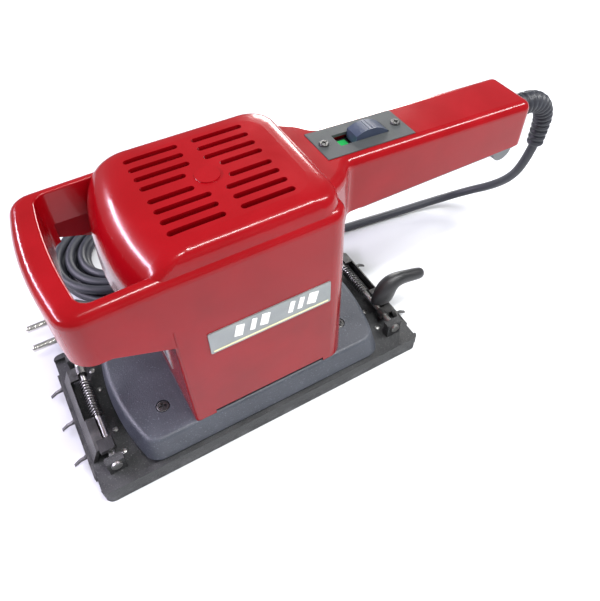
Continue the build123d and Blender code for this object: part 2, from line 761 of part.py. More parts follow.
def make_fan():
    with BuildPart() as cooling_fan:
        with BuildSketch(Plane.XY.offset(fan_low + fan_h - 1.6)):
            Circle(fan_d / 2)
        extrude(amount=1.6)
        with BuildSketch(Plane.XY.offset(fan_low)):
            Circle(14)
        extrude(amount=fan_h)
        with BuildSketch(Plane.XY.offset(fan_low)):
            with PolarLocations(27, 12):
                Rectangle(fan_d / 2 - 14, 1.8, rotation=18)
        extrude(amount=fan_h)
        with BuildSketch(Plane.XY.offset(fan_low)):
            Circle(shaft_d / 2)
        extrude(amount=fan_h + 1, mode=Mode.SUBTRACT)
    save(cooling_fan.part, "cooling_fan")


def make_brushes():
    holders = []
    brushes = []
    mid = core_top + 11.2
    for side in (-1, 1):
        with BuildPart() as brush:
            with Locations((side * (14.1 + 8), 0, mid)):
                Box(16, 7, 6)
        brushes.append(brush.part)
        with BuildPart() as holder:
            with Locations((side * (16 + 10), 0, mid)):
                Box(20, 10.4, 9.4)
                Box(22, 7, 6, mode=Mode.SUBTRACT)
        holders.append(holder.part)
    save_group(holders, "brush_holders")
    save_group(brushes, "carbon_brushes")


# --- Electrics in the handle and cord -------------------------------------------------------------------------
def make_handle_electrics():
    with BuildPart() as capacitor:
        with Locations((140, 0, handle_bottom + 3)):
            Box(24, 17, 12, align=(Align.CENTER, Align.CENTER, Align.MIN))
        fillet(capacitor.edges().filter_by(Axis.X), 2)
    save(capacitor.part, "suppressor_capacitor")
    with BuildPart() as terminal_block:
        with Locations((168, 0, handle_bottom + 3)):
            Box(16, 22, 10, align=(Align.CENTER, Align.CENTER, Align.MIN))
        with Locations([(168, y, handle_bottom + 13) for y in (-6, 6)]):
            Hole(2, depth=6)
    save(terminal_block.part, "terminal_block")
    with BuildPart() as cord_clamp:
        with Locations((190, 0, handle_bottom + 3)):
            Box(10, 26, 11, align=(Align.CENTER, Align.CENTER, Align.MIN))
    save(cord_clamp.part, "cord_clamp")


sleeve_start = (handle_end + 0.1, 0.0, sleeve_z)
sleeve_end = (handle_end + sleeve_run + sleeve_bend, 0.0, sleeve_z - sleeve_bend - sleeve_drop)


def make_cord_sleeve():
    """The bent strain relief, thick at the handle and thinner where the cord leaves it."""
    bend_in = (handle_end + sleeve_run, 0.0, sleeve_z)
    bend_out = (handle_end + sleeve_run + sleeve_bend, 0.0, sleeve_z - sleeve_bend)
    diagonal = sleeve_bend * (1 - math.sqrt(0.5))
    with BuildPart() as cord_sleeve:
        with BuildLine():
            Line(sleeve_start, bend_in)
            ThreePointArc(bend_in, (bend_out[0] - diagonal, 0, sleeve_z - diagonal), bend_out)
            Line(bend_out, sleeve_end)
        with BuildSketch(Plane.YZ.offset(sleeve_start[0])):
            with Locations((0, sleeve_z)):
                Circle((sleeve_root_d + sleeve_tip_d) / 4)
        sweep()
        with Locations(Location((handle_end + 0.1, 0, sleeve_z), (0, 90, 0))):
            Cylinder(sleeve_root_d / 2, 6, align=(Align.CENTER, Align.CENTER, Align.MIN))
        with Locations(Location((handle_end + 0.1, 0, sleeve_z), (0, -90, 0))):
            Cylinder(sleeve_root_d / 2 - 2.1, 9, align=(Align.CENTER, Align.CENTER, Align.MIN))
    save(cord_sleeve.part, "cord_sleeve")


# The cord's way from the sleeve down to the floor and along the far side to the coil.
cord_route = [
    (252, 0, 94), (251.5, 2.5, 76), (253, 11, 55), (253, 27, 35), (246, 46, 18.5), (225, 59, 8),
    (194, 66, 4), (156, 71, 3.5), (112, 76, 3.5), (66, 79.5, 3.5), (26, 82.5, 3.5), (-10, 85.5, 3.5),
]
tail_route = [(-24, 86, 11), (-42, 84, 12), (-57, 79, 14.6), (-70, 77, 16)]


def route_radii(route):
    """The largest arc that the two runs beside each corner allow."""
    radii = []
    for a, b, c in zip(route, route[1:], route[2:]):
        first, second = Vector(*b) - Vector(*a), Vector(*c) - Vector(*b)
        turn = math.radians(first.get_angle(second))
        radii.append(0.45 * min(first.length, second.length) / math.tan(turn / 2))
    return radii


def make_cord_tube(route, name):
    radii = route_radii(route)
    print(name, "radii", [round(r, 1) for r in radii])
    start, second = Vector(*route[0]), Vector(*route[1])
    with BuildPart() as tube:
        with BuildLine() as path:
            FilletPolyline(*route, radius=radii)
        with BuildSketch(Plane(origin=start, z_dir=(second - start))):
            Circle(cord_d / 2)
        sweep(path=path.wires()[0])
    length = path.wires()[0].length
    share = tube.part.volume / (math.pi * cord_d**2 / 4 * length)
    print(name, "length", round(length, 1), "volume share", round(share, 4))
    save(tube.part, name)


def make_cord_coil():
    outer = 2 * coil_radius + cord_d
    inner = 2 * (coil_radius - (coil_columns - 1) * coil_pitch) - cord_d
    with BuildPart() as cord_coil:
        with BuildSketch():
            with Locations(coil_centre):
                SlotOverall(coil_straight + outer, outer)
                SlotOverall(coil_straight + inner, inner, mode=Mode.SUBTRACT)
        extrude(amount=coil_height)
    save(cord_coil.part, "cord_coil")


def make_plug():
    front = plug_back - plug_length
    axis_z = plug_d / 2
    with BuildPart() as plug_body:
        with Locations(Location((front, plug_y, axis_z), (0, 90, 0))):
            Cylinder(plug_d / 2, plug_length * 0.55, align=(Align.CENTER, Align.CENTER, Align.MIN))
        with Locations(Location((front + plug_length * 0.55, plug_y, axis_z), (0, 90, 0))):
            Cone(plug_d / 2, cord_d / 2 + 3, plug_length * 0.45, align=(Align.CENTER, Align.CENTER, Align.MIN))
        fillet(plug_body.edges().filter_by(GeomType.CIRCLE).group_by(Axis.X)[0], 2)
    save(plug_body.part, "plug_body")
    pins = []
    for side in (-1, 1):
        with BuildPart() as pin:
            with Locations(Location((front, plug_y + side * plug_pin_pitch / 2, axis_z), (0, -90, 0))):
                Cylinder(plug_pin_d / 2, plug_pin_length, align=(Align.CENTER, Align.CENTER, Align.MIN))
            fillet(pin.edges().group_by(Axis.X)[0], 1.6)
        pins.append(pin.part)
    save_group(pins, "plug_pins")


def main():
    make_sanding_pad()
    make_platen()
    make_pad_bearing()
    make_rubber_posts()
    for side, end in ((-1, "front"), (1, "rear")):
        make_clamp_shaft(side, f"{end}_clamp_shaft")
        make_clamp_spring(side, f"{end}_clamp_spring")
    make_spike_strip(-1, 4.0, "front_spike_strip")
    make_spike_strip(1, 0.0, "rear_spike_strip")
    make_jaws()
    make_front_finger_tab()
    make_rear_lever()
    make_base_housing()
    post_screw = screw_solid(4.0, 1.5, 2.0, deck_thick - 1.8)
    save_group([Location((x, y, base_top - 1.6)) * post_screw for x, y in post_places()], "post_screws")
    make_main_housing()
    make_handle_cover()
    make_badges()
    make_switch()
    make_bearings()
    make_bearing_bracket()
    make_stator()
    save_group(make_stator_posts(), "stator_pillars")
    make_spindle()
    make_counterweight()
    make_armature()
    make_fan()
    make_brushes()
    make_handle_electrics()
    make_cord_sleeve()
    make_cord_tube(cord_route, "cord_run")
    make_cord_coil()
    make_cord_tube(tail_route, "cord_tail")
    make_plug()


main()
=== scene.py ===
"""Looks for the half-sheet orbital sander: red shell, dark cast base, steel clamps and a rubber lead."""

import math

import bmesh
import bpy
from mathutils import Matrix, Vector


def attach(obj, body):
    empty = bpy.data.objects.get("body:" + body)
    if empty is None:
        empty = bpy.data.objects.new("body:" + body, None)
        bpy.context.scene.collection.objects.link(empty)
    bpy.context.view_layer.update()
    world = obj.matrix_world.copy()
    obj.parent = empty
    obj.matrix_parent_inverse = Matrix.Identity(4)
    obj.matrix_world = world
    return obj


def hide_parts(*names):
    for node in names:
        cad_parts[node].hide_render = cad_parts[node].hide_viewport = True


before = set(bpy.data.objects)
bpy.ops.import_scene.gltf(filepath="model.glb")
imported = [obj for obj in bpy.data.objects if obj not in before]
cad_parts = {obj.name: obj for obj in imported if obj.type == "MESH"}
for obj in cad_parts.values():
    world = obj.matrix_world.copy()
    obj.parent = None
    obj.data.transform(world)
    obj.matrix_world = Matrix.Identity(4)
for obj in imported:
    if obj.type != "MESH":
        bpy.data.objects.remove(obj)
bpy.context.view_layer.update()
MM = 0.001

# --- Camera -----------------------------------------------------------------------------------------
CAMERA_PLACE = Vector((-78.2, -236.1, 353.6)) * MM
CAMERA_RIGHT = Vector((0.85913, -0.51168, 0.00916))
CAMERA_UP = Vector((0.38124, 0.65186, 0.65554))
CAMERA_BACK = Vector((-0.34140, -0.55970, 0.75511))
CAMERA_LENS = 35.38
CAMERA_SHIFT = (-0.032, -0.0176)


def make_camera():
    """A fairly close camera over the nose of the tool, on its left side."""
    data = bpy.data.cameras.new("camera")
    data.sensor_width = 36.0
    data.lens = CAMERA_LENS
    data.shift_x, data.shift_y = CAMERA_SHIFT
    data.clip_start = 0.01
    camera = bpy.data.objects.new("camera", data)
    bpy.context.scene.collection.objects.link(camera)
    turn = Matrix((CAMERA_RIGHT, CAMERA_UP, CAMERA_BACK)).transposed().to_4x4()
    camera.matrix_world = Matrix.Translation(CAMERA_PLACE) @ turn
    bpy.context.scene.camera = camera


# --- Cord -----------------------------------------------------------------------------------------------
CORD_DIAMETER = 0.007
RUN_POINTS = [
    (252, 0, 94), (251.5, 2.5, 76), (253, 11, 55), (253, 27, 35), (246, 46, 18.5), (225, 59, 8),
    (194, 66, 4), (156, 71, 3.5), (112, 76, 3.5), (66, 79.5, 3.5), (26, 82.5, 3.5), (-10, 85.5, 3.5),
]
TAIL_POINTS = [(-24, 86, 11), (-42, 84, 12), (-57, 79, 14.6), (-70, 77, 16)]
COIL_CENTRE = (-23.0, 136.0)
COIL_FAN = 2.6
COIL_WANDER = 1.3
COIL_STRAIGHT = 18.0
COIL_RADIUS = 50.0
COIL_PITCH = 7.4
COIL_COLUMNS = 4
COIL_STEPS = 16
COIL_LOWER = 3.5
COIL_UPPER = 11.0


def racetrack(radius, share):
    """A point on a long ring: share 0 is the middle of its near side, and it goes round by the nose."""
    straight = 2 * COIL_STRAIGHT
    total = 2 * math.pi * radius + 2 * straight
    gone = (share % 1.0) * total
    half = COIL_STRAIGHT
    if gone < half:
        return -gone, -radius
    gone -= half
    if gone < math.pi * radius:
        angle = gone / radius
        return -half - radius * math.sin(angle), -radius * math.cos(angle)
    gone -= math.pi * radius
    if gone < straight:
        return -half + gone, radius
    gone -= straight
    if gone < math.pi * radius:
        angle = gone / radius
        return half + radius * math.sin(angle), radius * math.cos(angle)
    gone -= math.pi * radius
    return half - gone, -radius


def coil_points():
    """Turns of the coil: inwards on the floor, one rising turn, then outwards on top of those."""
    inner = COIL_RADIUS - (COIL_COLUMNS - 1) * COIL_PITCH
    turns_in = COIL_COLUMNS - 1
    points = []
    steps = COIL_STEPS * (2 * turns_in + 1)
    for step in range(1, steps):
        turn = step / COIL_STEPS
        if turn < turns_in:
            radius, height = COIL_RADIUS - turn * COIL_PITCH, COIL_LOWER
        elif turn < turns_in + 1:
            rise = min(1.0, max(0.0, (turn - turns_in - 0.05) / 0.45))
            height = COIL_LOWER + (COIL_UPPER - COIL_LOWER) * rise * rise * (3 - 2 * rise)
            radius = inner
        else:
            radius, height = inner + (turn - turns_in - 1) * COIL_PITCH, COIL_UPPER
        x, y = racetrack(radius, turn)
        # The upper turns fan out at the nose end, and every turn wanders a little.
        fan = COIL_FAN * max(0.0, turn - turns_in - 1) * max(0.0, -x) / (COIL_STRAIGHT + radius)
        x += COIL_WANDER * math.sin(4 * math.pi * turn) - fan
        y += COIL_WANDER * math.sin(6 * math.pi * turn)
        points.append((COIL_CENTRE[0] + x, COIL_CENTRE[1] + y, height))
    return points


def make_tube(name, points, radius, roundness, smoothness, material):
    """A round rod of one thickness along a smooth line through points in millimetres."""
    data = bpy.data.curves.new(name, "CURVE")
    data.dimensions = "3D"
    data.bevel_depth = radius
    data.bevel_resolution = roundness
    data.resolution_u = smoothness
    data.use_fill_caps = True
    spline = data.splines.new("NURBS")
    spline.points.add(len(points) - 1)
    for point, (x, y, z) in zip(spline.points, points):
        point.co = (x * MM, y * MM, z * MM, 1.0)
    spline.order_u = 3
    spline.use_endpoint_u = True
    tube = bpy.data.objects.new(name, data)
    bpy.context.scene.collection.objects.link(tube)
    data.materials.append(material)
    return tube


def make_cord(material):
    """The whole lead as one line: down from the sleeve, along the floor, round the coil and into the plug."""
    points = RUN_POINTS + coil_points() + TAIL_POINTS
    return make_tube("mains_lead", points, CORD_DIAMETER / 2, 5, 6, material)


# --- Mesh helpers ---------------------------------------------------------------------------------------
def finish_piece(bm, name, material, smooth=True):
    """Turns a bmesh, drawn in millimetres, into an object that lies at the origin."""
    bmesh.ops.scale(bm, vec=(MM, MM, MM), verts=bm.verts)
    bmesh.ops.recalc_face_normals(bm, faces=bm.faces)
    data = bpy.data.meshes.new(name)
    bm.to_mesh(data)
    bm.free()
    for face in data.polygons:
        face.use_smooth = smooth
    piece = bpy.data.objects.new(name, data)
    bpy.context.scene.collection.objects.link(piece)
    data.materials.append(material)
    return piece


def add_block(bm, centre, size, round_off, turn=None):
    """Adds a box with rounded edges."""
    place = Matrix.Translation(centre) @ (turn or Matrix.Identity(4)) @ Matrix.Diagonal((*size, 1.0))
    made = bmesh.ops.create_cube(bm, size=1.0, matrix=place)
    edges = list({edge for vert in made["verts"] for edge in vert.link_edges})
    bmesh.ops.bevel(bm, geom=edges, offset=round_off, segments=3, profile=0.5, affect="EDGES", material=-1)


def skin_loops(bm, loops):
    """Bridges each ring of corners to the next and closes both ends."""
    for first, second in zip(loops, loops[1:]):
        edges = {edge for vert in first + second for edge in vert.link_edges
                 if (edge.verts[0] in first and edge.verts[1] in first)
                 or (edge.verts[0] in second and edge.verts[1] in second)}
        bmesh.ops.bridge_loops(bm, edges=list(edges))
    bmesh.ops.contextual_create(bm, geom=loops[0])
    bmesh.ops.contextual_create(bm, geom=loops[-1])


def ring_loft(bm, stations):
    """Joins circles, each a centre, a direction and a radius, into one closed skin."""
    loops = []
    for centre, direction, radius in stations:
        turn = Vector(direction).to_track_quat("Z", "Y").to_matrix().to_4x4()
        made = bmesh.ops.create_circle(bm, segments=40, radius=radius,
                                       matrix=Matrix.Translation(centre) @ turn)
        loops.append(made["verts"])
    skin_loops(bm, loops)


# --- Material helpers -------------------------------------------------------------------------------------
def new_group(name, inputs, outputs):
    """A shader node group with named number inputs and named outputs."""
    group = bpy.data.node_groups.new(name, "ShaderNodeTree")
    for label, value in inputs:
        socket = group.interface.new_socket(label, in_out="INPUT", socket_type="NodeSocketFloat")
        socket.default_value = value
    for label, kind in outputs:
        group.interface.new_socket(label, in_out="OUTPUT", socket_type=kind)
    start = group.nodes.new("NodeGroupInput")
    end = group.nodes.new("NodeGroupOutput")
    return group, start, end


def map_range(tree, value, low, high, to_low, to_high):
    """Maps a value between two limits onto two others."""
    node = tree.nodes.new("ShaderNodeMapRange")
    node.inputs["From Min"].default_value = low
    node.inputs["From Max"].default_value = high
    node.inputs["To Min"].default_value = to_low
    node.inputs["To Max"].default_value = to_high
    tree.links.new(value, node.inputs["Value"])
    return node.outputs["Result"]


def make_smudge_group():
    """Handled surface: large soft smudges and small specks, on the piece's own coordinates."""
    group, start, end = new_group("smudges", [("Scale", 30.0), ("Contrast", 0.2)],
                                  [("Mask", "NodeSocketFloat"), ("Specks", "NodeSocketFloat")])
    coords = group.nodes.new("ShaderNodeTexCoord")
    large = group.nodes.new("ShaderNodeTexNoise")
    large.inputs["Detail"].default_value = 5.0
    large.inputs["Distortion"].default_value = 0.4
    group.links.new(coords.outputs["Object"], large.inputs["Vector"])
    group.links.new(start.outputs["Scale"], large.inputs["Scale"])
    softened = group.nodes.new("ShaderNodeMapRange")
    low = group.nodes.new("ShaderNodeMath")
    low.operation = "SUBTRACT"
    low.inputs[0].default_value = 0.5
    high = group.nodes.new("ShaderNodeMath")
    high.operation = "ADD"
    high.inputs[0].default_value = 0.5
    group.links.new(start.outputs["Contrast"], low.inputs[1])
    group.links.new(start.outputs["Contrast"], high.inputs[1])
    group.links.new(low.outputs[0], softened.inputs["From Min"])
    group.links.new(high.outputs[0], softened.inputs["From Max"])
    group.links.new(large.outputs["Fac"], softened.inputs["Value"])
    specks = group.nodes.new("ShaderNodeTexNoise")
    specks.inputs["Detail"].default_value = 2.0
    finer = group.nodes.new("ShaderNodeMath")
    finer.operation = "MULTIPLY"
    finer.inputs[1].default_value = 24.0
    group.links.new(start.outputs["Scale"], finer.inputs[0])
    group.links.new(finer.outputs[0], specks.inputs["Scale"])
    group.links.new(coords.outputs["Object"], specks.inputs["Vector"])
    group.links.new(softened.outputs["Result"], end.inputs["Mask"])
    group.links.new(map_range(group, specks.outputs["Fac"], 0.62, 0.72, 0.0, 1.0), end.inputs["Specks"])
    return group


def make_grain_group():
    """Fine moulded or cast grain, as the normal it gives."""
    group, start, end = new_group("grain", [("Scale", 900.0), ("Depth", 0.2)],
                                  [("Normal", "NodeSocketVector")])
    coords = group.nodes.new("ShaderNodeTexCoord")
    noise = group.nodes.new("ShaderNodeTexNoise")
    noise.inputs["Detail"].default_value = 4.0
    group.links.new(coords.outputs["Object"], noise.inputs["Vector"])
    group.links.new(start.outputs["Scale"], noise.inputs["Scale"])
    bump = group.nodes.new("ShaderNodeBump")
    bump.inputs["Distance"].default_value = 0.0006
    group.links.new(start.outputs["Depth"], bump.inputs["Strength"])
    group.links.new(noise.outputs["Fac"], bump.inputs["Height"])
    group.links.new(bump.outputs["Normal"], end.inputs["Normal"])
    return group


SMUDGES = make_smudge_group()
GRAIN = make_grain_group()


def finish_material(name, low, high, rough, metallic=0.0, coat=0.0, scale=30.0, contrast=0.22, grain=900.0,
                    depth=0.2, speck=None, gloss=0.5):
    """A finish whose colour and roughness wander between two values, with grain and stray specks."""
    material = bpy.data.materials.new(name)
    material.use_nodes = True
    tree = material.node_tree
    shader = tree.nodes["Principled BSDF"]
    smudge = tree.nodes.new("ShaderNodeGroup")
    smudge.node_tree = SMUDGES
    smudge.inputs["Scale"].default_value = scale
    smudge.inputs["Contrast"].default_value = contrast
    surface = tree.nodes.new("ShaderNodeGroup")
    surface.node_tree = GRAIN
    surface.inputs["Scale"].default_value = grain
    surface.inputs["Depth"].default_value = depth
    colour = tree.nodes.new("ShaderNodeMix")
    colour.data_type = "RGBA"
    colour.inputs["A"].default_value = (*low, 1.0)
    colour.inputs["B"].default_value = (*high, 1.0)
    tree.links.new(smudge.outputs["Mask"], colour.inputs["Factor"])
    result = colour.outputs["Result"]
    if speck:
        dusted = tree.nodes.new("ShaderNodeMix")
        dusted.data_type = "RGBA"
        dusted.inputs["B"].default_value = (*speck, 1.0)
        tree.links.new(result, dusted.inputs["A"])
        tree.links.new(smudge.outputs["Specks"], dusted.inputs["Factor"])
        result = dusted.outputs["Result"]
    tree.links.new(result, shader.inputs["Base Color"])
    tree.links.new(map_range(tree, smudge.outputs["Mask"], 0.0, 1.0, *rough), shader.inputs["Roughness"])
    tree.links.new(surface.outputs["Normal"], shader.inputs["Normal"])
    shader.inputs["Metallic"].default_value = metallic
    shader.inputs["Coat Weight"].default_value = coat
    shader.inputs["Coat Roughness"].default_value = 0.06
    shader.inputs["Specular IOR Level"].default_value = gloss
    return material


WAVE_SPAN = 0.314


def add_stripes(material, axis, spacing, dark, share=0.5):
    """Thin lines across a material, such as laminations or wound wire; a wave at scale 1 spans WAVE_SPAN."""
    tree = material.node_tree
    shader = tree.nodes["Principled BSDF"]
    coords = tree.nodes.new("ShaderNodeTexCoord")
    wave = tree.nodes.new("ShaderNodeTexWave")
    wave.bands_direction = axis
    wave.inputs["Scale"].default_value = WAVE_SPAN / spacing
    tree.links.new(coords.outputs["Object"], wave.inputs["Vector"])
    mix = tree.nodes.new("ShaderNodeMix")
    mix.data_type = "RGBA"
    mix.inputs["B"].default_value = (*dark, 1.0)
    before = shader.inputs["Base Color"].links[0].from_socket
    tree.links.new(before, mix.inputs["A"])
    tree.links.new(map_range(tree, wave.outputs["Fac"], share, 1.0, 0.0, 1.0), mix.inputs["Factor"])
    tree.links.new(mix.outputs["Result"], shader.inputs["Base Color"])


def make_materials():
    """Every finish on the tool, by the name of what it covers."""
    made = {
        "red_shell": finish_material(
            "red_shell", (0.165, 0.0005, 0.002), (0.225, 0.0010, 0.004), (0.16, 0.26),
            coat=0.22, scale=22.0, grain=75.0, depth=0.12, gloss=0.22),
        "cast_base": finish_material(
            "cast_base", (0.030, 0.034, 0.044), (0.052, 0.058, 0.072), (0.38, 0.55),
            scale=40.0, grain=1400.0, depth=0.35, speck=(0.10, 0.11, 0.13)),
        "platen_black": finish_material(
            "platen_black", (0.012, 0.013, 0.014), (0.035, 0.036, 0.038), (0.42, 0.7),
            scale=60.0, grain=1100.0, depth=0.5, speck=(0.11, 0.11, 0.11)),
        "grey_plastic": finish_material(
            "grey_plastic", (0.13, 0.135, 0.145), (0.17, 0.175, 0.185), (0.42, 0.55),
            scale=50.0, grain=2200.0, depth=0.3),
        "plate_grey": finish_material(
            "plate_grey", (0.036, 0.040, 0.041), (0.052, 0.056, 0.057), (0.55, 0.7),
            scale=50.0, grain=2200.0, depth=0.3, gloss=0.25),
        "black_plastic": finish_material(
            "black_plastic", (0.010, 0.010, 0.011), (0.022, 0.022, 0.024), (0.3, 0.5),
            scale=60.0, grain=1800.0, depth=0.3),
        "slider_blue": finish_material(
            "slider_blue", (0.022, 0.030, 0.055), (0.034, 0.044, 0.072), (0.35, 0.5),
            scale=90.0, grain=2200.0, depth=0.25),
        "green_mark": finish_material(
            "green_mark", (0.01, 0.30, 0.06), (0.02, 0.38, 0.09), (0.3, 0.4),
            scale=80.0),
        "badge_foil": finish_material(
            "badge_foil", (0.24, 0.26, 0.26), (0.32, 0.34, 0.34), (0.3, 0.42), 0.7,
            scale=60.0, grain=3000.0, depth=0.15),
        "rating_foil": finish_material(
            "rating_foil", (0.5, 0.5, 0.5), (0.66, 0.66, 0.66), (0.28, 0.4), 0.8,
            scale=60.0, grain=3000.0, depth=0.15),
        "badge_print": finish_material(
            "badge_print", (0.80, 0.80, 0.78), (0.88, 0.88, 0.86), (0.35, 0.45),
            scale=90.0),
        "badge_line": finish_material(
            "badge_line", (0.62, 0.58, 0.34), (0.70, 0.66, 0.42), (0.35, 0.45),
            scale=90.0),
        "pad_rubber": finish_material(
            "pad_rubber", (0.030, 0.031, 0.033), (0.075, 0.077, 0.080), (0.75, 0.92),
            scale=130.0, contrast=0.12, grain=1300.0, depth=0.9, speck=(0.20, 0.20, 0.21)),
        "post_rubber": finish_material(
            "post_rubber", (0.015, 0.015, 0.016), (0.03, 0.03, 0.032), (0.6, 0.8)),
        "lead_rubber": finish_material(
            "lead_rubber", (0.012, 0.013, 0.018), (0.022, 0.024, 0.032), (0.38, 0.55),
            scale=70.0, grain=1500.0, depth=0.25),
        "zinc_steel": finish_material(
            "zinc_steel", (0.40, 0.40, 0.39), (0.56, 0.56, 0.54), (0.28, 0.48), 1.0,
            scale=110.0, grain=1600.0, depth=0.2, speck=(0.22, 0.19, 0.15)),
        "dark_steel": finish_material(
            "dark_steel", (0.05, 0.05, 0.052), (0.14, 0.14, 0.14), (0.3, 0.5), 0.9,
            scale=120.0, grain=1500.0, depth=0.3, speck=(0.16, 0.12, 0.08)),
        "pin_plate": finish_material(
            "pin_plate", (0.62, 0.60, 0.56), (0.74, 0.72, 0.68), (0.16, 0.3), 1.0,
            scale=120.0, grain=2500.0, depth=0.1),
        "bearing_steel": finish_material(
            "bearing_steel", (0.60, 0.60, 0.61), (0.70, 0.70, 0.71), (0.12, 0.22), 1.0,
            scale=90.0, grain=2500.0, depth=0.1),
        "core_steel": finish_material(
            "core_steel", (0.16, 0.155, 0.15), (0.24, 0.235, 0.23), (0.35, 0.5), 1.0,
            scale=60.0, grain=1500.0, depth=0.2),
        "wound_copper": finish_material(
            "wound_copper", (0.50, 0.20, 0.07), (0.62, 0.28, 0.11), (0.25, 0.4), 1.0,
            scale=60.0, grain=1500.0, depth=0.2),
        "carbon": finish_material(
            "carbon", (0.02, 0.02, 0.02), (0.035, 0.035, 0.036), (0.5, 0.65)),
    }
    add_stripes(made["core_steel"], "Z", 0.001, (0.06, 0.06, 0.06))
    add_stripes(made["wound_copper"], "Z", 0.0009, (0.2, 0.07, 0.02))
    return made


FINISH_OF_NODE = {
    "main_housing": "red_shell", "base_housing": "cast_base", "handle_cover": "grey_plastic",
    "side_badge": "badge_foil", "rating_plate": "rating_foil", "switch_plate": "plate_grey",
    "switch_screws": "dark_steel", "switch_body": "black_plastic", "on_mark": "green_mark",
    "switch_slider": "slider_blue", "lower_bearing": "bearing_steel", "upper_bearing": "bearing_steel",
    "pad_bearing": "bearing_steel", "bearing_bracket": "grey_plastic", "field_core": "core_steel",
    "field_windings": "wound_copper", "stator_pillars": "grey_plastic", "brush_holders": "pin_plate",
    "carbon_brushes": "carbon", "spindle": "bearing_steel", "counterweight": "core_steel",
    "armature_core": "core_steel", "commutator": "wound_copper", "cooling_fan": "grey_plastic",
    "suppressor_capacitor": "slider_blue", "terminal_block": "grey_plastic", "cord_clamp": "black_plastic",
    "cord_sleeve": "lead_rubber", "cord_run": "lead_rubber", "cord_coil": "lead_rubber",
    "cord_tail": "lead_rubber", "plug_body": "lead_rubber", "plug_pins": "pin_plate",
    "post_screws": "dark_steel", "rubber_posts": "post_rubber", "platen": "platen_black",
    "sanding_pad": "pad_rubber",
    "front_clamp_shaft": "zinc_steel", "rear_clamp_shaft": "zinc_steel", "front_clamp_spring": "dark_steel",
    "rear_clamp_spring": "dark_steel", "front_spike_strip": "dark_steel", "rear_spike_strip": "dark_steel",
    "front_clamp_jaw": "dark_steel", "rear_clamp_jaw": "dark_steel", "front_finger_tab": "black_plastic",
    "rear_lever": "black_plastic",
}


def dress_nodes(materials):
    """Gives every CAD node its finish."""
    for node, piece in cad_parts.items():
        piece.data.materials.clear()
        piece.data.materials.append(materials[FINISH_OF_NODE[node]])


# --- Pieces -------------------------------------------------------------------------------------------------
SLEEVE_START = Vector((212.1, 0, 135))
SLEEVE_RUN = 15.9
SLEEVE_BEND = 24.0
SLEEVE_DROP = 17.0


def sleeve_station(gone):
    """Where the bent sleeve's line is, and which way it points, after a length."""
    quarter = SLEEVE_BEND * math.pi / 2
    if gone < SLEEVE_RUN:
        return SLEEVE_START + Vector((gone, 0, 0)), Vector((1, 0, 0))
    bend_start = SLEEVE_START + Vector((SLEEVE_RUN, 0, 0))
    if gone < SLEEVE_RUN + quarter:
        angle = (gone - SLEEVE_RUN) / SLEEVE_BEND
        place = Vector((SLEEVE_BEND * math.sin(angle), 0, -SLEEVE_BEND * (1 - math.cos(angle))))
        return bend_start + place, Vector((math.cos(angle), 0, -math.sin(angle)))
    down = gone - SLEEVE_RUN - quarter
    return bend_start + Vector((SLEEVE_BEND, 0, -SLEEVE_BEND - down)), Vector((0, 0, -1))


def make_sleeve(materials):
    """The ribbed strain relief: a collar at the handle, then rings that get smaller."""
    total = SLEEVE_RUN + SLEEVE_BEND * math.pi / 2 + SLEEVE_DROP - 0.3
    stations = []
    ribs = 14
    first_rib = 7.0
    for gone, radius in ((0.0, 7.6), (0.6, 8.4), (5.2, 8.4), (6.0, 7.4)):
        place, way = sleeve_station(gone)
        stations.append((place, way, radius))
    pitch = (total - first_rib) / ribs
    for rib in range(ribs):
        share = rib / (ribs - 1)
        peak = 8.0 - 1.9 * share
        root = peak - 1.5
        shoulder = peak - 0.25
        for step, radius in ((0.06, root), (0.22, root), (0.36, shoulder), (0.5, peak), (0.72, peak),
                             (0.86, shoulder)):
            place, way = sleeve_station(first_rib + (rib + step) * pitch)
            stations.append((place, way, radius))
    place, way = sleeve_station(total)
    stations.append((place, way, 4.6))
    bm = bmesh.new()
    ring_loft(bm, stations)
    sleeve = finish_piece(bm, "ribbed_sleeve", materials["lead_rubber"])
    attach(sleeve, "housing")
    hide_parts("cord_sleeve")
    return sleeve


def make_plug(materials):
    """The moulded plug: a round face, grip rings and a short neck where the lead comes out."""
    front, axis_y, axis_z = -106.0, 77.0, 16.0
    outline = [
        (0.0, 14.6), (0.5, 15.6), (1.4, 16.0), (7.5, 16.0), (8.0, 15.2), (9.4, 15.2), (9.9, 16.0),
        (12.0, 16.0), (12.5, 15.2), (13.9, 15.2), (14.4, 15.9), (16.5, 15.8), (17.0, 15.0), (18.4, 14.8),
        (19.0, 15.2), (21.0, 14.0), (24.0, 11.8), (27.5, 9.6), (30.5, 8.1), (31.0, 7.3), (32.4, 7.2),
        (32.9, 7.6), (34.4, 7.3), (34.9, 6.5), (36.0, 6.2),
    ]
    bm = bmesh.new()
    ring_loft(bm, [(Vector((front + x, axis_y, axis_z)), Vector((1, 0, 0)), radius) for x, radius in outline])
    plug = finish_piece(bm, "lead_plug", materials["lead_rubber"])
    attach(plug, "housing")
    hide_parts("plug_body")
    return plug


def make_spring(name, node, x, finish):
    """A torsion spring wound round a clamp shaft."""
    turns, steps_a_turn = 13, 10
    length, middle_y, shaft_z = 29.0, 7, 18.5
    winding, wire = 3.5, 0.55
    steps = turns * steps_a_turn
    points = []
    for step in range(steps + 1):
        angle = 2 * math.pi * step / steps_a_turn
        y = middle_y - length / 2 + length * step / steps
        points.append((x + winding * math.cos(angle), y, shaft_z + winding * math.sin(angle)))
    spring = make_tube(name, points, wire * MM, 3, 3, finish)
    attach(spring, "pad")
    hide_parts(node)


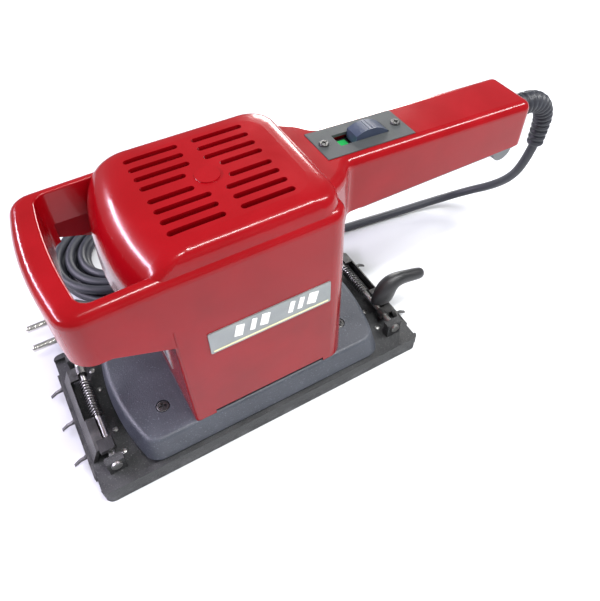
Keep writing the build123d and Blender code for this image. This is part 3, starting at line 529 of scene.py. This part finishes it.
def make_lever(materials):
    """The thumb lever: a broad curved root that narrows into a rounded tab."""
    stations = [
        (103.4, 22.6, 9.4, 4.0), (104.6, 29.0, 9.6, 5.4), (106.8, 36.5, 8.8, 6.6), (110.6, 41.0, 7.4, 6.2),
        (116.0, 42.0, 5.6, 5.2), (123.0, 40.6, 4.8, 4.7), (131.0, 38.4, 4.7, 4.6), (136.5, 36.8, 4.5, 4.3),
        (139.2, 36.0, 3.2, 3.0),
    ]
    lever_y = -24.0
    bm = bmesh.new()
    loops = []
    for index, (x, z, half_y, half_z) in enumerate(stations):
        before = stations[max(0, index - 1)]
        after = stations[min(len(stations) - 1, index + 1)]
        way = Vector((after[0] - before[0], 0, after[1] - before[1]))
        turn = way.to_track_quat("Z", "Y").to_matrix().to_4x4()
        shape = Matrix.Diagonal((half_y, half_z, 1.0, 1.0)) @ Matrix.Rotation(math.pi / 20, 4, "Z")
        side = Matrix.Rotation(math.pi / 2, 4, "Z")
        made = bmesh.ops.create_circle(bm, segments=20, radius=1.0,
                                       matrix=Matrix.Translation((x, lever_y, z)) @ turn @ side @ shape)
        loops.append(made["verts"])
    skin_loops(bm, loops)
    lever = finish_piece(bm, "thumb_lever", materials["black_plastic"])
    levels = lever.modifiers.new("round", "SUBSURF")
    levels.levels = 2
    levels.render_levels = 2
    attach(lever, "rear_clamp")
    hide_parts("rear_lever")


def make_badge_graphic(materials):
    """Plain bars on the side badge and plain rows on the front plate: a pattern, not writing."""
    badge_x, badge_y = 5, -50.88
    plate_x, first_row_z, row_pitch = -50.68, 80, 4.6
    bm = bmesh.new()
    lean = Matrix.Rotation(math.radians(14), 4, "Y")
    for x, width in ((-20, 5), (-11.5, 3), (-4.5, 5), (12, 3), (18, 3), (25.5, 6)):
        add_block(bm, Vector((x + badge_x, badge_y, 99.6)), (width, 0.3, 8.6), 0.1, lean)
    bars = finish_piece(bm, "badge_bars", materials["badge_print"], smooth=False)
    bm = bmesh.new()
    add_block(bm, Vector((badge_x, badge_y, 91.2)), (72, 0.2, 1.1), 0.05)
    line = finish_piece(bm, "badge_line", materials["badge_line"], smooth=False)
    bm = bmesh.new()
    for row in range(6):
        width = 34 - 5 * (row % 3)
        centre = Vector((plate_x, -18 + width / 2, first_row_z - row_pitch * row))
        add_block(bm, centre, (0.2, width, 1.2), 0.05)
    rows = finish_piece(bm, "rating_rows", materials["carbon"], smooth=False)
    for piece in (bars, line, rows):
        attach(piece, "housing")


def make_rivets(materials):
    """Flat rivet heads on the platen, a row of four beside each clamp."""
    rivet_x, rivet_z, head_radius, flatness = 95, 10.0, 2.0, 0.45
    bm = bmesh.new()
    for side in (-1, 1):
        for y in (-34, -17, 17, 34):
            place = Matrix.Translation((side * rivet_x, y, rivet_z))
            bmesh.ops.create_uvsphere(bm, u_segments=20, v_segments=10, radius=head_radius,
                                      matrix=place @ Matrix.Diagonal((1, 1, flatness, 1)))
    rivets = finish_piece(bm, "platen_rivets", materials["zinc_steel"])
    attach(rivets, "pad")


# --- Stage --------------------------------------------------------------------------------------------------
def area_light(name, place, look_at, size, power, colour):
    """A soft rectangular light aimed at a point."""
    data = bpy.data.lights.new(name, "AREA")
    data.shape = "RECTANGLE"
    data.size, data.size_y = size
    data.energy = power
    data.color = colour
    lamp = bpy.data.objects.new(name, data)
    bpy.context.scene.collection.objects.link(lamp)
    away = Vector(place) - Vector(look_at)
    lamp.matrix_world = Matrix.Translation(place) @ away.to_track_quat("Z", "Y").to_matrix().to_4x4()
    return lamp


FLOOR_HALF = 4000.0
WORLD_COLOUR = (0.93, 0.96, 1.0, 1.0)
WORLD_STRENGTH = 0.32


def make_stage():
    """A pale floor, a dim white surround and five soft lights."""
    bm = bmesh.new()
    bmesh.ops.create_grid(bm, x_segments=1, y_segments=1, size=FLOOR_HALF)
    floor_finish = finish_material("floor", (0.58, 0.595, 0.615), (0.60, 0.615, 0.63), (0.6, 0.7),
                                   scale=2.0, grain=300.0, depth=0.02)
    floor = finish_piece(bm, "floor", floor_finish)
    world = bpy.data.worlds.new("studio")
    bpy.context.scene.world = world
    world.use_nodes = True
    background = world.node_tree.nodes["Background"]
    background.inputs["Color"].default_value = WORLD_COLOUR
    background.inputs["Strength"].default_value = WORLD_STRENGTH
    area_light("window", (0.66, 0.90, 0.42), (0.05, 0.0, 0.15), (0.34, 0.34), 8.0, (1.0, 0.98, 0.95))
    area_light("high_strip", (0.55, -0.30, 0.98), (0.55, 0.0, 0.12), (1.3, 0.08), 20.0, (1.0, 1.0, 1.0))
    area_light("front_strip", (-0.72, 0.34, 0.52), (-0.06, 0.0, 0.15), (1.1, 0.09), 15.0, (0.88, 0.80, 1.0))
    low_fill = area_light("low_fill", (0.1, -1.1, 0.45), (0.03, 0.0, 0.08), (0.9, 0.5), 8.5,
                          (1.0, 0.98, 0.96))
    overhead = area_light("overhead", (0.25, 0.1, 1.5), (0.03, 0.0, 0.0), (1.6, 1.6), 7.0, (0.97, 0.98, 1.0))
    low_fill.visible_glossy = overhead.visible_glossy = False
    bpy.context.scene.view_settings.view_transform = "Standard"


def main():
    """Camera, finishes, the pieces that stand for CAD nodes, then the stage."""
    make_camera()
    materials = make_materials()
    dress_nodes(materials)
    sleeve = make_sleeve(materials)
    plug = make_plug(materials)
    lead = make_cord(materials["lead_rubber"])
    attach(lead, "housing")
    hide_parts("cord_run", "cord_coil", "cord_tail")
    make_spring("front_spring_wire", "front_clamp_spring", -101.5, materials["dark_steel"])
    make_spring("rear_spring_wire", "rear_clamp_spring", 101.5, materials["dark_steel"])
    make_lever(materials)
    make_badge_graphic(materials)
    make_rivets(materials)
    make_stage()


main()
